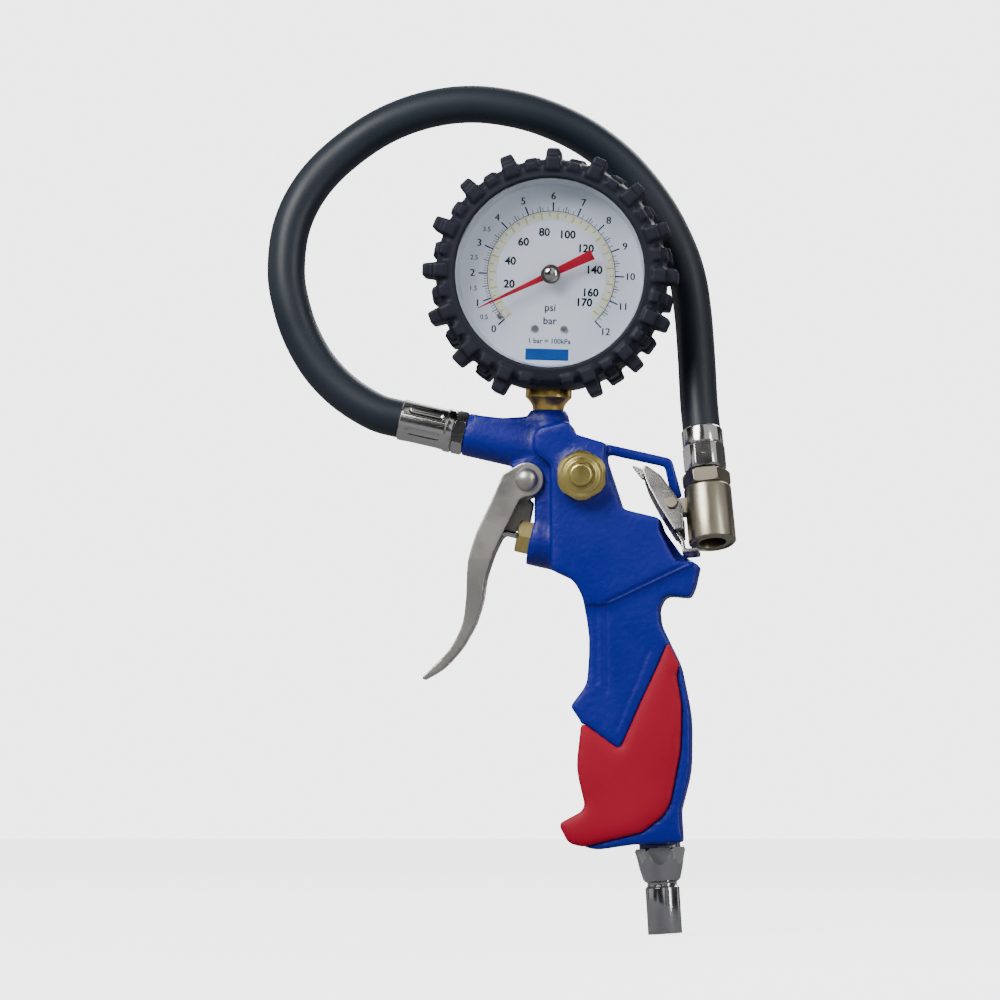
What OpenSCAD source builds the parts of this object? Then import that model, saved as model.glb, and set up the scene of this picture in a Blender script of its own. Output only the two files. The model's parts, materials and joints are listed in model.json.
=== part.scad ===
// Tyre inflator gun with a booted dial gauge, a lever valve, a whip hose and a clip-on chuck.
// Frame: X to the rear of the handle, Z up, the gun's mid-plane at y = 0.
// The dial faces -Y, and the origin is the centre of the air plug's nose end.

/* [Gauge] */
// Diameter of the steel gauge case
case_d = 63; // [62:0.5:64]
// Diameter over the lugs of the rubber boot
boot_d = 80; // [78:1:82]
// Lugs in each of the boot's two staggered rows
lug_count = 16; // [12:2:16]
// Lean of the gauge towards the rear of the gun, in degrees
gauge_lean = 1.8; // [0:0.1:2]
// Angle of the resting pointer, counted up from +X, in degrees
needle_angle = 206.5; // [200:0.5:212]

/* [Casting] */
// Width of the head of the casting
head_w = 24; // [23:0.5:26]
// Width of the handle below the head
neck_w = 21; // [20:0.5:22]
// Width over the red grip cover
grip_w = 24; // [23:0.5:26]
// Width of the ear that the trigger straddles
ear_w = 13.6; // [13:0.1:13.8]
// Diameter of the outlet barrel
barrel_d = 13.6; // [13:0.1:14]
// Fall of the outlet barrel and of the valve axis, in degrees
slope = 13; // [12:0.5:14]
// Thickness of the hanging hook
hook_t = 4.4; // [4:0.1:4.6]

/* [Trigger and valves] */
// Width over the side plates of the trigger
trigger_w = 16.8; // [16.6:0.1:17]
// Thickness of the trigger's sheet steel
trigger_sheet = 1.3; // [1.2:0.05:1.3]
// Radius of the trigger's rivet
rivet_r = 2.4; // [2.2:0.05:2.5]
// Width across the flats of the bleed valve's hexagon
bleed_hex = 15; // [14:0.5:15]
// Width across the flats of the inflation valve's gland
gland_hex = 10; // [9:0.5:10.5]

/* [Hose and chuck] */
// Outside diameter of the whip hose
hose_d = 12; // [11.5:0.1:12.4]
// Diameter of the chuck's body
chuck_d = 15; // [14.8:0.1:15.2]
// Bore that takes the stem of a tyre valve
stem_bore_d = 8.6; // [8.4:0.1:8.8]
// Lean of the stored chuck along X, in degrees
chuck_lean = 6; // [5:0.5:7]
// Tilt of the stored chuck's mouth towards -Y, in degrees
chuck_tilt = 18; // [17:0.5:19]

/* [Air plug] */
// Diameter of the plug's nose
nose_d = 10.8; // [10.6:0.1:11]
// Length of the plug's nose
nose_l = 14.5; // [13:0.5:15]
// Width across the flats of the plug's hexagon
plug_hex = 14; // [13:0.5:15]
// Lean of the plug's axis, in degrees
plug_lean = 3.5; // [3:0.5:4]

/* [Hidden] */
$fn = 64;
PAINT = [0.09, 0.13, 0.52];
GRIP_RED = [0.82, 0.08, 0.16];
RUBBER = [0.15, 0.17, 0.20];
STEEL = [0.74, 0.74, 0.72];
CHROME = [0.86, 0.84, 0.80];
BRASS = [0.80, 0.66, 0.30];

// Small gap left between pieces that are pushed or screwed together
fit_gap = 0.05;
// Step by which a cutter passes the face that it cuts
past = 0.5;
// Centres that the axes pass through, as [x, y, z]
gauge_at = [-35.5, 0, 207.5];
boss_top = [-36.8, 0, 165.3];
barrel_face = [-63, 0, 157.7];
valve_face = [-42.2, 0, 124.5];
pivot_at = [-43.2, 0, 142.9];
bleed_at = [-25.5, 0, 143.8];
mouth_at = [15.3, -6.3, 122.6];
// Clip pin's centre, in the chuck's own frame
clip_at = [-11.6, 0, 13];
// Sector gear's pivot and its tail end, in the gauge's own frame
sector_at = [9, 0, -12.5];
tail_at = [15.5, 0, -9.5];
// Joint between the link and the tube's tip
tip_at = [20.2, 0, 4.9];
pinion_r = 1.35;
sector_r = 13.9;
case_r = case_d / 2;
boot_r = boot_d / 2;
hose_r = hose_d / 2;
chuck_r = chuck_d / 2;
stem_r = stem_bore_d / 2;
// Bore of the casting's pressure chambers
gland_bore_r = 4.6;
poppet_bore_r = 4;
// Route of the hose, from the barrel's ferrule to the chuck's
HOSE_ROUTE = [[-83.7, 0, 162.5], [-91.5, 0, 164.8], [-101.4, 1, 171], [-109.3, 2, 179], [-115, 3, 188.5],
    [-118.6, 4, 198.5], [-120.5, 5.5, 209.5], [-119.2, 7.5, 223.5], [-114, 9.5, 235.6], [-105, 11.5, 246.2],
    [-91.4, 13.5, 256.2], [-77, 15, 262], [-62, 16.3, 264], [-46.8, 17.6, 262.1], [-33.8, 19, 257.7],
    [-22.6, 20.3, 251.4], [-12.6, 21.2, 242.8], [-3.6, 21.6, 231.4], [2.8, 21.4, 219.4], [6.4, 20.4, 209],
    [8.3, 18.2, 197.5], [9.6, 13.5, 182.5], [10.5, 8.6, 168.3], [11.5, 5.5, 158.8]];

// ---------- outlines ----------
function unit(v) = v / norm(v);
function polar(r, a) = [r * cos(a), r * sin(a)];
function arc(r, a0, a1, n) = [for (i = [0:n]) polar(r, a0 + (a1 - a0) * i / n)];

// One rounded corner: p is the corner, a and c its neighbours, r the radius
function corner(a, p, c, r) =
    r == 0 ? [p] :
    let (u = unit(a - p), v = unit(c - p))
    let (half = acos(u * v) / 2)
    let (centre = p + unit(u + v) * r / sin(half))
    let (from = p + u * r / tan(half) - centre, to = p + v * r / tan(half) - centre)
    let (a0 = atan2(from[1], from[0]), turn = atan2(to[1], to[0]) - a0)
    let (sweep = turn > 180 ? turn - 360 : turn < -180 ? turn + 360 : turn)
    let (n = max(2, ceil(abs(sweep) / 12)))
    [for (i = [0:n]) centre + polar(r, a0 + sweep * i / n)];

// Closed outline from corners given as [x, z, radius]
function outline(p) = [for (i = [0:len(p) - 1])
    let (a = p[(i + len(p) - 1) % len(p)], c = p[(i + 1) % len(p)])
    each corner([a[0], a[1]], [p[i][0], p[i][1]], [c[0], c[1]], p[i][2])];

// Outline in the XZ plane, given thickness between y0 and y1
module plate(corners, y0, y1) {
    translate([0, y1, 0]) rotate([90, 0, 0]) linear_extrude(y1 - y0) polygon(outline(corners));
}

// The same, centred on the mid-plane
module slab(corners, w) {
    plate(corners, -w / 2, w / 2);
}

// Round bar or bore along Y
module y_bar(r, y0, y1) {
    translate([0, y1, 0]) rotate([90, 0, 0]) cylinder(r = r, h = y1 - y0);
}

// Turned shape about Y, from [radius, y] points
module y_turned(points) {
    rotate([-90, 0, 0]) rotate_extrude() polygon(points);
}

// Turned shape about Z, from [radius, z] points
module z_turned(points) {
    rotate_extrude() polygon(points);
}

// Hexagon bar along Z
module hex_bar(flats, z0, z1) {
    translate([0, 0, z0]) cylinder(r = flats / sqrt(3), h = z1 - z0, $fn = 6);
}

// Straight drilling in the mid-plane, from a to b
module drilling(a, b, r) {
    run = b - a;
    translate(a) rotate([0, atan2(run[0], run[2]), 0]) cylinder(r = r, h = norm(run));
}

// Round-section ring about Z, from its middle radius and its wire radius
module o_ring(ring_r, wire_r) {
    rotate_extrude() translate([ring_r, 0]) circle(r = wire_r);
}

// ---------- sweeps ----------
// Points along a smooth curve through the route
function blend_at(a, b, c, d, t) = 0.5 * (2 * b + (c - a) * t + (2 * a - 5 * b + 4 * c - d) * t * t
    + (3 * b - a - 3 * c + d) * t * t * t);
function smooth_route(p, n) = [
    for (i = [0:len(p) - 2], j = [0:n - 1])
        blend_at(i == 0 ? 2 * p[0] - p[1] : p[i - 1], p[i], p[i + 1],
            i == len(p) - 2 ? 2 * p[i + 1] - p[i] : p[i + 2], j / n),
    p[len(p) - 1]];

// Tube swept along points, with a ring of sides square to the path at each; up isn't along the path
module sweep(path, r, sides, up) {
    last = len(path) - 1;
    rings = [for (i = [0:last])
        let (t = unit(path[min(i + 1, last)] - path[max(i - 1, 0)]))
        let (u = unit(cross(up, t)), v = cross(t, u))
        for (k = [0:sides - 1]) path[i] + r * (cos(360 * k / sides) * u + sin(360 * k / sides) * v)];
    walls = [for (i = [0:last - 1], k = [0:sides - 1])
        let (n = (k + 1) % sides)
        [i * sides + k, (i + 1) * sides + k, (i + 1) * sides + n, i * sides + n]];
    caps = [[for (k = [0:sides - 1]) k], [for (k = [sides - 1:-1:0]) last * sides + k]];
    polyhedron(points = rings, faces = concat(walls, caps), convexity = 6);
}

// Coil spring about Z, from z = 0 to its height
module coil(ring_r, wire_r, height, turns) {
    steps = 12 * turns;
    sweep([for (i = [0:steps]) [ring_r * cos(30 * i), ring_r * sin(30 * i),
        wire_r + (height - 2 * wire_r) * i / steps]], wire_r, 6, [0, 0, 1]);
}

// ---------- frames of the sub-assemblies ----------
// Plug: +Z runs from the nose into the handle
module in_plug() { rotate([0, -plug_lean, 0]) children(); }
// Barrel: +Z runs out of the barrel, towards the hose
module in_barrel() { translate(barrel_face) rotate([0, slope - 90, 0]) children(); }
// Valve: +Z runs into the casting
module in_valve() { translate(valve_face) rotate([0, 90 + slope, 0]) children(); }
// Gauge boss: +Z runs up to the gauge
module in_boss() { translate(boss_top) rotate([0, gauge_lean, 0]) children(); }
// Gauge: the origin is the dial's centre
module in_gauge() { translate(gauge_at) rotate([0, gauge_lean, 0]) children(); }
// Chuck: the origin is its mouth, and +Z runs up to the hose
module in_chuck() { translate(mouth_at) rotate([-chuck_tilt, -chuck_lean, 0]) children(); }

// ---------- casting ----------
HEAD = [[-35.4, 114.4, 0], [-35.4, 147.4, 3], [-40.6, 151.6, 2], [-41, 158.6, 4], [-29.4, 161.2, 2],
    [-28.2, 157.2, 3], [-18.2, 154.2, 0], [-18.3, 149.4, 0.5], [-13.1, 133.5, 3], [-1.3, 130.6, 1],
    [-1.3, 127, 3], [1.6, 121, 3], [4, 116.8, 1.5], [11.3, 116.9, 0.5], [-17.8, 103.4, 3],
    [-24.6, 103.2, 0.5], [-25.6, 106, 6], [-28.4, 111.2, 7]];
NECK = [[-33, 116, 0], [-33, 121, 0], [-3, 121, 0], [4, 116.4, 0], [11.3, 116.2, 1], [9.7, 109, 4],
    [8.2, 105.6, 1.5], [0.2, 106.4, 3], [-1.6, 102, 4], [-1.1, 97.2, 6], [5.2, 84, 12], [8.5, 68, 40],
    [8.3, 51, 30], [5.1, 38.6, 5], [5.7, 28.7, 0.8], [-10, 28, 10], [-21, 26.4, 8], [-30, 28.4, 4],
    [-33.2, 34.6, 1.5], [-24.6, 39.2, 3], [-27.6, 52, 20], [-26, 66.4, 2], [-29.4, 71.5, 1.2],
    [-24.2, 78.4, 8], [-23.2, 93, 40], [-25.6, 106, 10], [-28.4, 111.2, 4]];
// Blue spine that stays between the grip cover's cheeks
CORE = [[8.5, 92, 0], [8.5, 30, 0], [-8, 29.5, 2], [-21.5, 30.5, 4], [-21, 44, 10], [-23.4, 55, 10],
    [-22, 66, 3], [-12, 92, 0]];
COVER = [[1.2, 91.4, 0.4], [-2.2, 83.4, 8], [-6.8, 73.6, 20], [-13.8, 57.8, 1.2], [-24.8, 65.8, 0],
    [-28, 66.1, 0], [-29.5, 52, 0], [-36, 44, 0], [-36, 25, 0], [-22, 28.2, 10], [-7, 31.9, 8],
    [1.5, 38.5, 12], [5.3, 58, 30], [5.6, 72, 20], [4, 81.6, 3], [5.6, 86.2, 0.4]];
EAR = [[-40.9, 128.4, 0], [-40.9, 139.5, 0], [-47.6, 141.5, 0], [-48.2, 148, 0], [-34, 152, 0],
    [-34, 128.4, 0]];
SHOULDER = [[-3, 131, 0], [-1.3, 130.6, 1], [0.2, 126.4, 3], [5.3, 119.4, 3], [9.8, 116.6, 0], [0, 112, 0]];
// Gusset that fills the corner between the barrel and the gauge boss
WEB = [[-60, 156, 0], [-60, 163.6, 0], [-51, 162.5, 12], [-43.6, 163, 2], [-41, 165, 0], [-38, 156, 0]];
HOOK = [[-24, 155.7, 0], [2.2, 149.7, 2], [5.6, 137.4, 0.6], [2.2, 136.6, 0.6], [0, 147.1, 1],
    [-17.6, 151, 0.5], [-19.5, 146, 0], [-26, 150, 0]];

module passages() {
    in_plug() translate([0, 0, 27]) cylinder(r = 6.55, h = 13);
    drilling([-2.6, 0, 38], [-18, 0, 117], 2.8);
    in_valve() {
        translate([0, 0, -past]) cylinder(r = gland_bore_r, h = 15);
        translate([0, 0, 14]) cylinder(r = poppet_bore_r, h = 14);
    }
    drilling([-37.2, 0, 152], [-32.3, 0, 124], 1.8);
    in_boss() {
        translate([0, 0, -10]) cylinder(r = 4.9, h = 10 + past);
        translate([0, 0, -15]) cylinder(r = 2, h = 6);
    }
    in_barrel() {
        translate([0, 0, -9]) cylinder(r = 4.9, h = 9 + past);
        translate([0, 0, -27.5]) cylinder(r = 2, h = 19);
    }
    translate(bleed_at) {
        y_bar(6.05, -head_w / 2 - 2, -4);
        y_bar(4.2, -4.5, 5);
    }
    drilling([-26.5, 0, 144], [-36.3, 0, 147.4], 1.5);
    translate(pivot_at) y_bar(rivet_r + 0.02, -10, 10);
}

module body_casting() {
    color(PAINT) difference() {
        union() {
            slab(HEAD, head_w);
            difference() {
                slab(NECK, neck_w);
                plate(COVER, -grip_w, grip_w);
            }
            intersection() {
                slab(CORE, 18);
                slab(NECK, 18);
            }
            slab(EAR, ear_w);
            slab(SHOULDER, 6);
            slab(HOOK, hook_t);
            translate(pivot_at) y_bar(5, -ear_w / 2, ear_w / 2);
            in_barrel() translate([0, 0, -28]) cylinder(d = barrel_d, h = 28);
            in_valve() cylinder(r = 8.2, h = 20);
            slab(WEB, 11);
            in_boss() z_turned([[0, -12], [6.9, -12], [6.9, -3.4], [6.5, -1.8], [5.6, -0.4], [5.4, 0], [0, 0]]);
            translate(bleed_at) y_bar(8.4, -head_w / 2 - 1, 0);
        }
        passages();
    }
}

// Red cover: it wraps the front of the handle and both cheeks
module grip_cover() {
    color(GRIP_RED) difference() {
        intersection() {
            slab(COVER, grip_w);
            slab(NECK, grip_w);
        }
        slab(CORE, 18);
    }
}

// ---------- air plug ----------
module air_plug() {
    color(CHROME) in_plug() difference() {
        union() {
            z_turned([[0, 0], [nose_d / 2, 0], [nose_d / 2, nose_l], [4.7, nose_l + 0.7],
                [4.7, nose_l + 1.7], [5.7, nose_l + 2.4], [5.7, nose_l + 3.5], [0, nose_l + 3.5]]);
            intersection() {
                hex_bar(plug_hex, nose_l + 2.7, 27.1);
                z_turned([[0, nose_l + 2.7], [5.9, nose_l + 2.7], [6.8, 20.6], [7.5, 24.4], [8, 26.2], [7.6, 27.1],
                    [0, 27.1]]);
            }
            translate([0, 0, 27]) cylinder(r = 6.5, h = 9.5);
        }
        translate([0, 0, -past]) cylinder(r = 3.2, h = 40);
        translate([0, 0, 32]) cylinder(r = 4.4, h = 6);
    }
}

module inlet_screen() {
    color(STEEL) in_plug() difference() {
        translate([0, 0, 32.1]) cylinder(r = 4.35, h = 4);
        translate([0, 0, 32.9]) cylinder(r = 3.5, h = 4);
        for (a = [0:60:300]) rotate([0, 0, a]) translate([2.1, 0, 31]) cylinder(r = 0.6, h = 3);
        translate([0, 0, 31]) cylinder(r = 0.6, h = 3);
    }
}

// ---------- trigger ----------
LEVER = [[-45.6, 147.7, 0], [-50.6, 144.8, 0.8], [-54.4, 136.2, 60], [-59.2, 126.2, 30], [-62, 117.5, 25],
    [-62.4, 106, 25], [-63.3, 98, 16], [-67, 90, 20], [-76.6, 80.6, 0.3], [-75.9, 79.9, 0.3], [-69.6, 83.4, 16],
    [-63.8, 90, 16], [-59.6, 97.4, 16], [-57.2, 105, 20], [-56.4, 112, 25], [-53.9, 119.6, 25],
    [-50.9, 125.8, 4], [-45.5, 136.6, 2], [-43.2, 137.6, 0]];
// Hollow behind the lever's web, at the sheet's thickness inside it
LEVER_HOLLOW = [[-30, 156, 0], [-49.2, 152, 0], [-49.2, 144.4, 0], [-53.1, 135.7, 60], [-57.9, 125.8, 30],
    [-60.7, 117.3, 25], [-61.1, 106, 25], [-62, 98.4, 16], [-65.9, 90.8, 16], [-71, 85.4, 0], [-30, 78, 0]];
// Guard on the far side plate, beside the valve pin
GUARD = [[-46, 136.6, 0], [-41.4, 136.8, 1], [-42.9, 129.4, 1], [-51.5, 124.8, 0]];

// Front view of the lever, half as wide as w at the top, tapering to its tip
module lever_front(inset) {
    top = trigger_w / 2 - inset;
    tip = 5.2 - inset;
    translate([-90, 0, 0]) rotate([90, 0, 90]) linear_extrude(60)
        polygon([[-top, 160], [-top, 118], [-tip, 84], [-tip, 70], [tip, 70], [tip, 84], [top, 118], [top, 160]]);
}

module trigger_lever() {
    half = trigger_w / 2;
    color(STEEL) difference() {
        union() {
            intersection() {
                slab(LEVER, trigger_w);
                lever_front(0);
            }
            translate(pivot_at) y_bar(5.4, -half, half);
            plate(GUARD, half - trigger_sheet, half);
        }
        intersection() {
            union() {
                slab(LEVER_HOLLOW, 2 * half - 2 * trigger_sheet);
                translate(pivot_at) y_bar(5.9, trigger_sheet - half, half - trigger_sheet);
            }
            lever_front(trigger_sheet);
        }
        translate(pivot_at) y_bar(rivet_r + 0.05, -20, 20);
    }
}

module trigger_rivet() {
    half = trigger_w / 2;
    color(CHROME) translate(pivot_at) {
        y_bar(rivet_r, -half - 0.3, half + 0.3);
        intersection() {
            translate([0, -half + 1.4, 0]) sphere(r = 4.2);
            y_bar(3.6, -half - 3, -half - 0.12);
        }
        y_bar(3.3, half + 0.12, half + 1.3);
    }
}

// ---------- inflation valve ----------
module valve_gland() {
    color(BRASS) in_valve() difference() {
        union() {
            intersection() {
                rotate([0, 0, 30]) hex_bar(gland_hex, -4.4, 0);
                z_turned([[0, -4.4], [4.9, -4.4], [5.8, -3.6], [5.8, 0], [0, 0]]);
            }
            cylinder(r = gland_bore_r - fit_gap, h = 7.5);
            translate([0, 0, 7]) cylinder(r = 4.2, h = 5);
        }
        translate([0, 0, -6]) cylinder(r = 1.06, h = 20);
        translate([0, 0, 3]) cylinder(r = 2, h = 3);
        translate([0, 0, 6.5]) cylinder(r = 3.3, h = 6);
        translate([0, 0, 9.7]) rotate([0, 90, 0]) cylinder(r = 1.5, h = 12, center = true);
    }
}

module gland_o_ring() {
    color(RUBBER) in_valve() difference() {
        translate([0, 0, 3.05]) cylinder(r = 1.95, h = 1.6);
        translate([0, 0, 3]) cylinder(r = 1.03, h = 2);
    }
}

// Push pin and poppet in one turned piece
module valve_stem() {
    color(STEEL) in_valve() {
        translate([0, 0, -14.6]) cylinder(r = 1, h = 30.6);
        translate([0, 0, 15.9]) z_turned([[0, 0], [3.3, 0], [3.3, 1.3], [1.9, 2], [0, 2]]);
    }
}

module poppet_seal() {
    color(RUBBER) in_valve() translate([0, 0, 14.75]) difference() {
        cylinder(r = 3.3, h = 1.1);
        translate([0, 0, -1]) cylinder(r = 1.03, h = 3);
    }
}

module valve_seat() {
    color(BRASS) in_valve() translate([0, 0, 12.1]) difference() {
        cylinder(r = gland_bore_r - fit_gap, h = 2.35);
        translate([0, 0, -1]) cylinder(r = 2, h = 5);
    }
}

module valve_spring() {
    color(STEEL) in_valve() translate([0, 0, 18]) coil(2.6, 0.3, 9.9, 6);
}

// ---------- bleed valve ----------
module bleed_gland() {
    face = -head_w / 2 - 1;
    color(BRASS) translate(bleed_at) difference() {
        union() {
            intersection() {
                translate([0, face, 0]) rotate([90, 0, 0]) rotate([0, 0, 30]) hex_bar(bleed_hex, 0, 4.6);
                y_turned([[0, face], [7.9, face], [7.9, face - 3.4], [6.7, face - 4.6], [0, face - 4.6]]);
            }
            y_turned([[0, face - 4.5], [6, face - 4.5], [4.6, face - 5.6], [0, face - 5.6]]);
            y_bar(6, face, -4.1);
        }
        y_bar(2.05, -30, 0);
        y_bar(3.72, -30, face - 1.5);
    }
}

module bleed_button() {
    color(BRASS) translate(bleed_at) {
        y_turned([[0, -21], [3.1, -21], [3.65, -20.5], [3.65, -17], [0, -17]]);
        y_bar(2, -17.5, -2);
        y_bar(3.5, -3, -2);
    }
}

module bleed_seal() {
    color(RUBBER) translate(bleed_at) difference() {
        y_bar(3.5, -4.05, -3.03);
        y_bar(2.03, -5, -2);
    }
}

module bleed_spring() {
    color(STEEL) translate(bleed_at) translate([0, -1.9, 0]) rotate([-90, 0, 0]) coil(2.7, 0.3, 6.8, 5);
}

// ---------- gauge ----------
// Tread lug of the boot at an angle from the top, its tip this much lower than the tallest;
// the boot hangs a little low on its case, so the lugs reach further at the bottom
module boot_lug(turn, width, y0, y1, lower) {
    rotate([0, turn, 0]) translate([-width / 2, y0, 34.5])
        cube([width, y1 - y0, boot_r - 34.5 - 0.6 * cos(turn) - lower]);
}

module gauge_boot() {
    color(RUBBER) in_gauge() difference() {
        union() {
            y_turned([[29.8, -17.5], [34.4, -17.5], [36.6, -15.4], [36.6, 11], [34.4, 14], [28.5, 14], [28.5, 12.15],
                [case_r + 0.1, 12.15], [case_r + 0.1, -9.3], [32.75, -9.3], [32.75, -15.15], [29.8, -15.15]]);
            for (i = [0:lug_count - 1])
                if (i != lug_count / 2) boot_lug(360 * i / lug_count, 4.6, -16.6, -2, 0);
            for (i = [0:lug_count - 1])
                if (i != lug_count / 2 && i != lug_count / 2 - 1)
                    boot_lug(360 * (i + 0.5) / lug_count, 5.2, -2.5, 12.4, 1.4);
        }
        translate([-7.7, -7.7, -boot_r - 2]) cube([15.4, 15.4, 12]);
    }
}

module gauge_case() {
    color(STEEL) in_gauge() difference() {
        y_bar(case_r, -11, 12);
        y_bar(case_r - 0.9, -12, 11.1);
        translate([0, 0, -case_r]) cylinder(r = 5.85, h = 12, center = true);
        translate([0, 0, 12]) y_bar(5, 10, 13);
        for (x = [-4, 4]) translate([x, 0, -25]) y_bar(1.5, 10, 13);
    }
}

module bezel_ring() {
    color(CHROME) in_gauge() y_turned([[29.8, -15], [31.9, -15], [32.6, -14.3], [32.6, -9.5],
        [case_r + fit_gap, -9.5], [case_r + fit_gap, -13.95], [29.8, -13.95]]);
}

module window() {
    color([0.9, 0.95, 1, 0.4]) in_gauge() y_bar(case_r - 0.1, -13.9, -12.3);
}

module window_gasket() {
    color(RUBBER) in_gauge() y_turned([[30.6, -12.25], [case_r - 0.1, -12.25], [case_r - 0.1, -11.05],
        [30.6, -11.05]]);
}

module dial_plate() {
    color("white") in_gauge() difference() {
        y_bar(case_r - 1, -6.6, -6);
        y_bar(1.3, -7, -5);
        for (x = [-4.6, 4.6]) translate([x, 0, -17.1]) y_bar(0.7, -7, -5);
    }
}

module dial_screws() {
    color(STEEL) in_gauge() for (x = [-4.6, 4.6]) translate([x, 0, -17.1]) difference() {
        union() {
            y_turned([[0, -7.3], [0.9, -7.3], [1.2, -7], [1.2, -6.62], [0, -6.62]]);
            y_bar(0.6, -6.7, -4.6);
        }
        translate([-2, -7.6, -0.15]) cube([4, 0.5, 0.3]);
    }
}

module stop_pin() {
    color(STEEL) in_gauge() translate([-15.8, 0, -13.6]) {
        y_bar(0.5, -10.6, -6.62);
        y_bar(0.8, -6.95, -6.62);
    }
}

module needle() {
    color("red") in_gauge() difference() {
        union() {
            rotate([0, -needle_angle, 0]) plate([[25.5, 0, 0], [24.8, 0.3, 0], [2, 0.8, 0], [-14.6, 1.5, 0],
                [-14.6, -1.5, 0], [2, -0.8, 0], [24.8, -0.3, 0]], -10.4, -9.9);
            y_turned([[0, -11.6], [1.6, -11.6], [2.9, -11], [2.9, -9.4], [1.4, -8.9], [0, -8.9]]);
        }
        y_bar(0.53, -11, -8);
    }
}

// Gear outline of n teeth between two radii
function gear_points(n, root_r, tip_r, first, last) = [for (i = [first:last], q = [0:3])
    polar(q == 0 || q == 3 ? root_r : tip_r, 360 * (i + [-0.3, -0.12, 0.12, 0.3][q]) / n)];

module arbor_pinion() {
    color(BRASS) in_gauge() {
        y_bar(0.5, -10.9, -4.5);
        y_bar(0.8, -4.5, 1.1);
        y_bar(0.5, 1, 1.9);
        translate([0, -1.6, 0]) rotate([90, 0, 0]) linear_extrude(2) polygon(gear_points(12, 1.05, pinion_r, 0, 11));
    }
}

module hairspring() {
    turns = 3;
    steps = 18 * turns;
    inner = [for (i = [0:steps]) polar(1.5 + 3.2 * i / steps, 20 * i)];
    outer = [for (i = [steps:-1:0]) polar(1.62 + 3.2 * i / steps, 20 * i)];
    color(STEEL) in_gauge() translate([0, -3.95, 0]) rotate([90, 0, 0]) linear_extrude(0.4)
        polygon(concat(inner, outer));
}

MOVEMENT = [[-7.5, 8, 3], [7.5, 8, 3], [12.6, -5, 4], [12.6, -14.4, 4], [7, -19.3, 3], [-7.5, -19.3, 2]];
PILLARS = [[-5.3, 5.3], [5.5, 5.3], [-5.8, -16.4]];

module movement_holes() {
    y_bar(0.55, -10, 10);
    translate(sector_at) y_bar(0.55, -10, 10);
    for (p = PILLARS) translate([p[0], 0, p[1]]) y_bar(0.6, -10, 10);
    for (x = [-4.6, 4.6]) translate([x, 0, -17.1]) y_bar(0.65, -10, -3);
}

module movement_front_plate() {
    color(BRASS) in_gauge() difference() {
        plate(MOVEMENT, -5.4, -4.6);
        movement_holes();
    }
}

module movement_back_plate() {
    color(BRASS) in_gauge() difference() {
        plate(MOVEMENT, 1.2, 2);
        movement_holes();
    }
}

module movement_pillars() {
    color(BRASS) in_gauge() for (p = PILLARS) translate([p[0], 0, p[1]]) {
        y_bar(1.2, -4.58, 1.18);
        y_bar(0.58, -5.38, 1.98);
    }
}

// Toothed sector with its tail: the arc reaches from 95 to 132 degrees about its pivot
module sector_gear() {
    teeth = 120;
    color(BRASS) in_gauge() translate(sector_at) {
        difference() {
            union() {
                translate([0, -2.2, 0]) rotate([90, 0, 0]) linear_extrude(0.8)
                    polygon(concat([[0, 0]], gear_points(teeth, sector_r - 0.35, sector_r, 32, 44)));
                y_bar(2, -3, -2.2);
                plate([[-0.5, -1.6, 0], [7.2, 2, 1], [5.8, 4.2, 1], [-1, 1.6, 0]], -3, -2.2);
            }
            y_bar(0.85, -5, 0);
            translate(tail_at - sector_at) y_bar(0.52, -5, 0);
        }
        y_bar(0.85, -4.5, 1.1);
        y_bar(0.5, -5.3, 1.9);
    }
}

module bourdon_link() {
    run = tip_at - tail_at;
    color(BRASS) in_gauge() translate(tail_at) {
        rotate([0, -atan2(run[2], run[0]), 0]) plate([[-1.1, 0.8, 0.7], [norm(run) + 1.1, 0.8, 0.7],
            [norm(run) + 1.1, -0.8, 0.7], [-1.1, -0.8, 0.7]], -3.9, -3.35);
        y_bar(0.48, -4.2, -2);
        translate(run) y_bar(0.48, -4.2, -3.35);
    }
}

// Flattened tube section, wide along y
module tube_section(wide, thick) {
    square([thick, wide - thick], center = true);
    for (s = [-1, 1]) translate([0, s * (wide - thick) / 2]) circle(d = thick);
}

module bourdon_tube() {
    color(BRASS) in_gauge() rotate([-90, 0, 0]) rotate_extrude(angle = 235.7, start = 109.3)
        translate([22, 1]) difference() {
            tube_section(8, 3);
            tube_section(7.3, 2.3);
        }
}

module tube_tip() {
    color(BRASS) in_gauge() rotate([-90, 0, 0]) rotate_extrude(angle = 7, start = 345.2)
        translate([19.9, -3.2]) square([4, 8.4]);
}

module gauge_socket() {
    color(BRASS) in_gauge() difference() {
        union() {
            translate([0, 0, -51]) cylinder(r = 4.85, h = 9);
            z_turned([[0, -42.1], [4.95, -42.1], [4.95, -41.4], [5.5, -40.3], [6.4, -39.2], [7.3, -38.4], [7.3, -35.6],
                [0, -35.6]]);
            translate([0, 0, -36]) cylinder(r = 5.8, h = 8);
            translate([-7, -4.3, -29]) cube([14, 9.7, 8.8]);
            translate([-4.5, 2.05, -21]) cube([9, 1.9, 11]);
        }
        translate([0, 0, -52]) cylinder(r = 1.5, h = 30.5);
        translate([-8, 1, -22.5]) rotate([0, 90, 0]) cylinder(r = 1.1, h = 9);
        for (x = [-4, 4]) translate([x, 0, -25]) y_bar(1.45, 1.5, 6);
    }
}

module socket_screws() {
    color(STEEL) in_gauge() for (x = [-4, 4]) translate([x, 0, -25]) difference() {
        union() {
            y_bar(1.4, 2, 12.1);
            y_bar(2.4, 12.05, 13.4);
        }
        translate([-3, 12.9, -0.3]) cube([6, 1, 0.6]);
    }
}

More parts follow.
